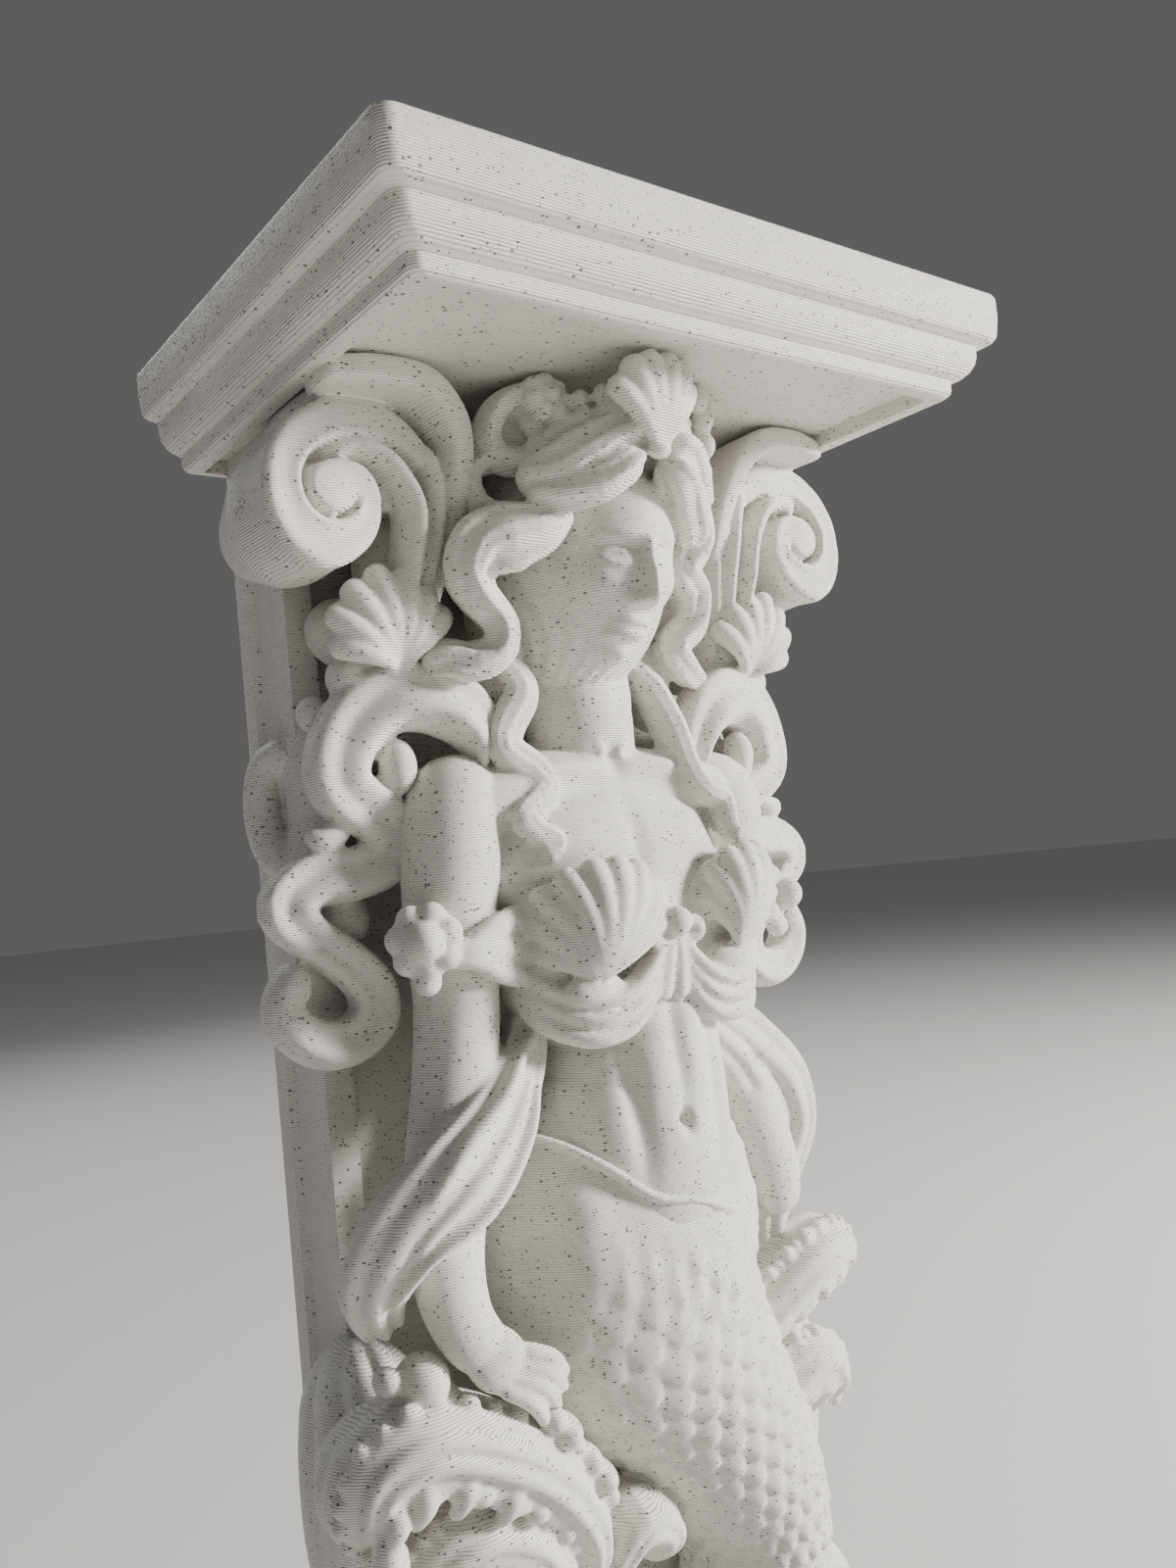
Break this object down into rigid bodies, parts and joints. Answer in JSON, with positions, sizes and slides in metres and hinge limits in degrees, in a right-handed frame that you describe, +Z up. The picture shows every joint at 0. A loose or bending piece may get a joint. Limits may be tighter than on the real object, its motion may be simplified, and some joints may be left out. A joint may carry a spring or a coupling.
{
  "type": "corbel",
  "caption": "Miniature printed bracket: a mermaid under a moulded capital, between volutes, on a flat pilaster with a flat back.",
  "frame": {"origin": "centre of the flat back face, halfway up the part", "axes": "+Z up, +Y back into the wall, +X to the viewer's right; the carved front faces -Y"},
  "size_m": [0.063, 0.0456, 0.176],
  "materials": {
    "marble_plastic": "off-white marble-effect filament with dark specks and visible print layers, satin"
  },
  "bodies": {
    "root": {"corbel": "marble_plastic"}
  },
  "joints": []
}
